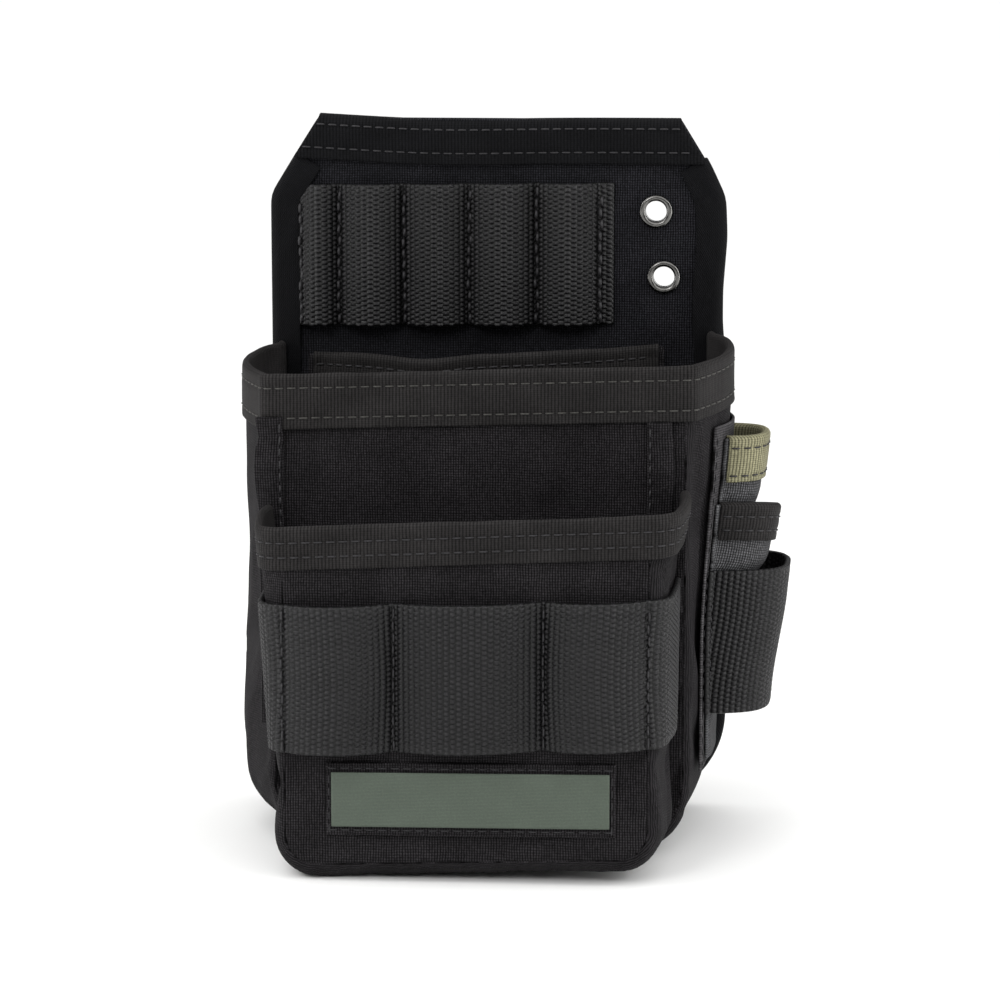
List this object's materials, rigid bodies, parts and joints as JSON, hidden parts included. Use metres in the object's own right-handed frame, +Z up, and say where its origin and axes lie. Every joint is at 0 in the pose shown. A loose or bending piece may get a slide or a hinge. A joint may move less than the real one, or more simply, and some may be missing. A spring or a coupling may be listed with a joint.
{
  "type": "electrician tool pouch",
  "caption": "Open-topped fabric belt pouch: tall backboard with driver loops and eyelets, main and front pockets, webbing tool slots, side sheaths and a belt tunnel.",
  "frame": {"origin": "centre of the flat underside of the main compartment", "axes": "+Z up along the backboard, -Y the way the front pocket faces, +X towards the side pockets"},
  "size_m": [0.1976, 0.1333, 0.2553],
  "materials": {
    "black_cordura": "plain-woven textured nylon, dull",
    "grey_cordura": "plain-woven textured nylon, dull",
    "black_grosgrain": "ribbed binding tape",
    "charcoal_grosgrain": "ribbed binding tape",
    "khaki_grosgrain": "ribbed binding tape",
    "black_webbing": "coarse woven nylon webbing, slight sheen",
    "woven_label": "fine woven label cloth",
    "polyethylene_board": "as extruded",
    "nickel_plate": "bright nickel plate"
  },
  "bodies": {
    "pouch": {"back_panel_face": "black_cordura", "back_panel_stiffener": "polyethylene_board", "back_panel_lining": "black_cordura", "back_panel_side_binding": "black_grosgrain", "back_panel_top_binding": "black_grosgrain", "driver_loop_webbing": "black_webbing", "upper_eyelet": "nickel_plate", "lower_eyelet": "nickel_plate", "upper_eyelet_washer": "nickel_plate", "lower_eyelet_washer": "nickel_plate", "belt_tunnel_panel": "black_cordura", "main_front_panel": "black_cordura", "main_gusset": "black_cordura", "main_rim_binding": "charcoal_grosgrain", "inner_pocket_panel": "black_cordura", "inner_pocket_binding": "charcoal_grosgrain", "front_pocket_gusset": "black_cordura", "side_backing_panel": "grey_cordura", "side_tall_pocket": "grey_cordura", "side_tall_pocket_binding": "khaki_grosgrain", "side_short_pocket": "grey_cordura", "side_short_pocket_binding": "charcoal_grosgrain", "side_loop_webbing": "black_webbing"},
    "front_pocket": {"front_pocket_panel": "black_cordura", "front_pocket_rim_binding": "charcoal_grosgrain", "front_tool_webbing": "black_webbing", "label_backing": "black_cordura", "woven_label": "woven_label"}
  },
  "joints": [
    {"name": "front_pocket_opening", "type": "hinge", "parent": "pouch", "child": "front_pocket", "pos_m": [-0.00165, -0.0745, 0.0065], "axis": [1, 0, 0], "range_deg": [0, 8], "stiffness_Nm_per_rad": 0.05, "deforming": ["front_pocket_gusset", "front_pocket_rim_binding"]}
  ]
}
